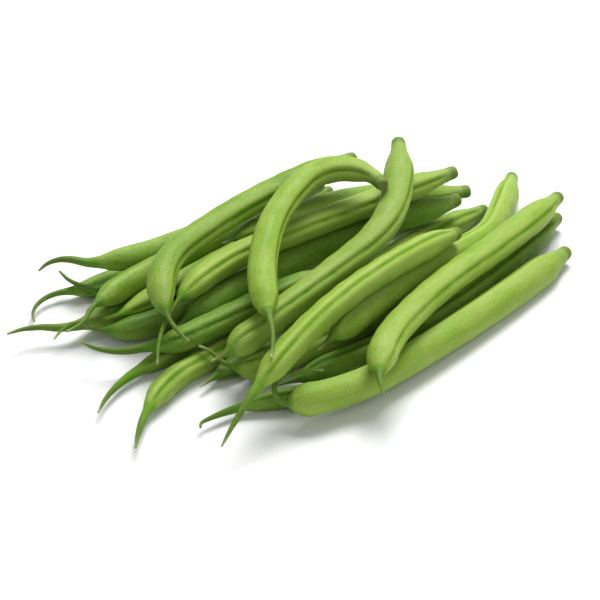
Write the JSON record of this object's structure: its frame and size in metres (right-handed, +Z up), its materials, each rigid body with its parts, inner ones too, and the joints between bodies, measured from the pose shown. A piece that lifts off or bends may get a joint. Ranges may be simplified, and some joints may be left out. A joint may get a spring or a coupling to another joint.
{
  "type": "green bean bundle",
  "caption": "Loose bundle of fresh green beans heaped side by side, pods curved and crossing, thin pointed beaks to one side and snapped stem ends to the other.",
  "frame": {"origin": "on the table, under the middle of the bundle's bounding box", "axes": "+X along the bundle, from the beaks towards the stem ends; +Z up from the table; +Y towards the back of the heap"},
  "size_m": [0.2138, 0.1446, 0.0457],
  "materials": {
    "bright_skin": "satin, slightly waxy bean skin, pale yellow green",
    "middle_skin": "satin, slightly waxy bean skin, leaf green",
    "deep_skin": "satin, slightly waxy bean skin, deep green"
  },
  "bodies": {
    "root": {"back_low_bean": "middle_skin", "left_floor_bean": "middle_skin", "low_front_bean": "deep_skin", "left_front_floor_bean": "bright_skin", "back_short_bean": "deep_skin", "inner_floor_bean": "deep_skin", "far_left_bean": "middle_skin", "inner_left_bean": "deep_skin", "shaded_front_bean": "deep_skin", "long_front_bean": "bright_skin", "right_middle_bean": "middle_skin", "pale_left_bean": "bright_skin", "right_floor_bean": "deep_skin", "back_curved_beak_bean": "middle_skin", "deep_green_bean": "deep_skin", "long_beak_bean": "deep_skin", "back_upper_bean": "middle_skin", "back_middle_bean": "middle_skin", "ridged_bean": "bright_skin", "crossing_bean": "middle_skin", "curled_beak_bean": "bright_skin", "upright_stem_bean": "bright_skin", "top_front_bean": "bright_skin", "diagonal_front_bean": "bright_skin", "bent_top_bean": "middle_skin", "arched_top_bean": "bright_skin"}
  },
  "joints": []
}
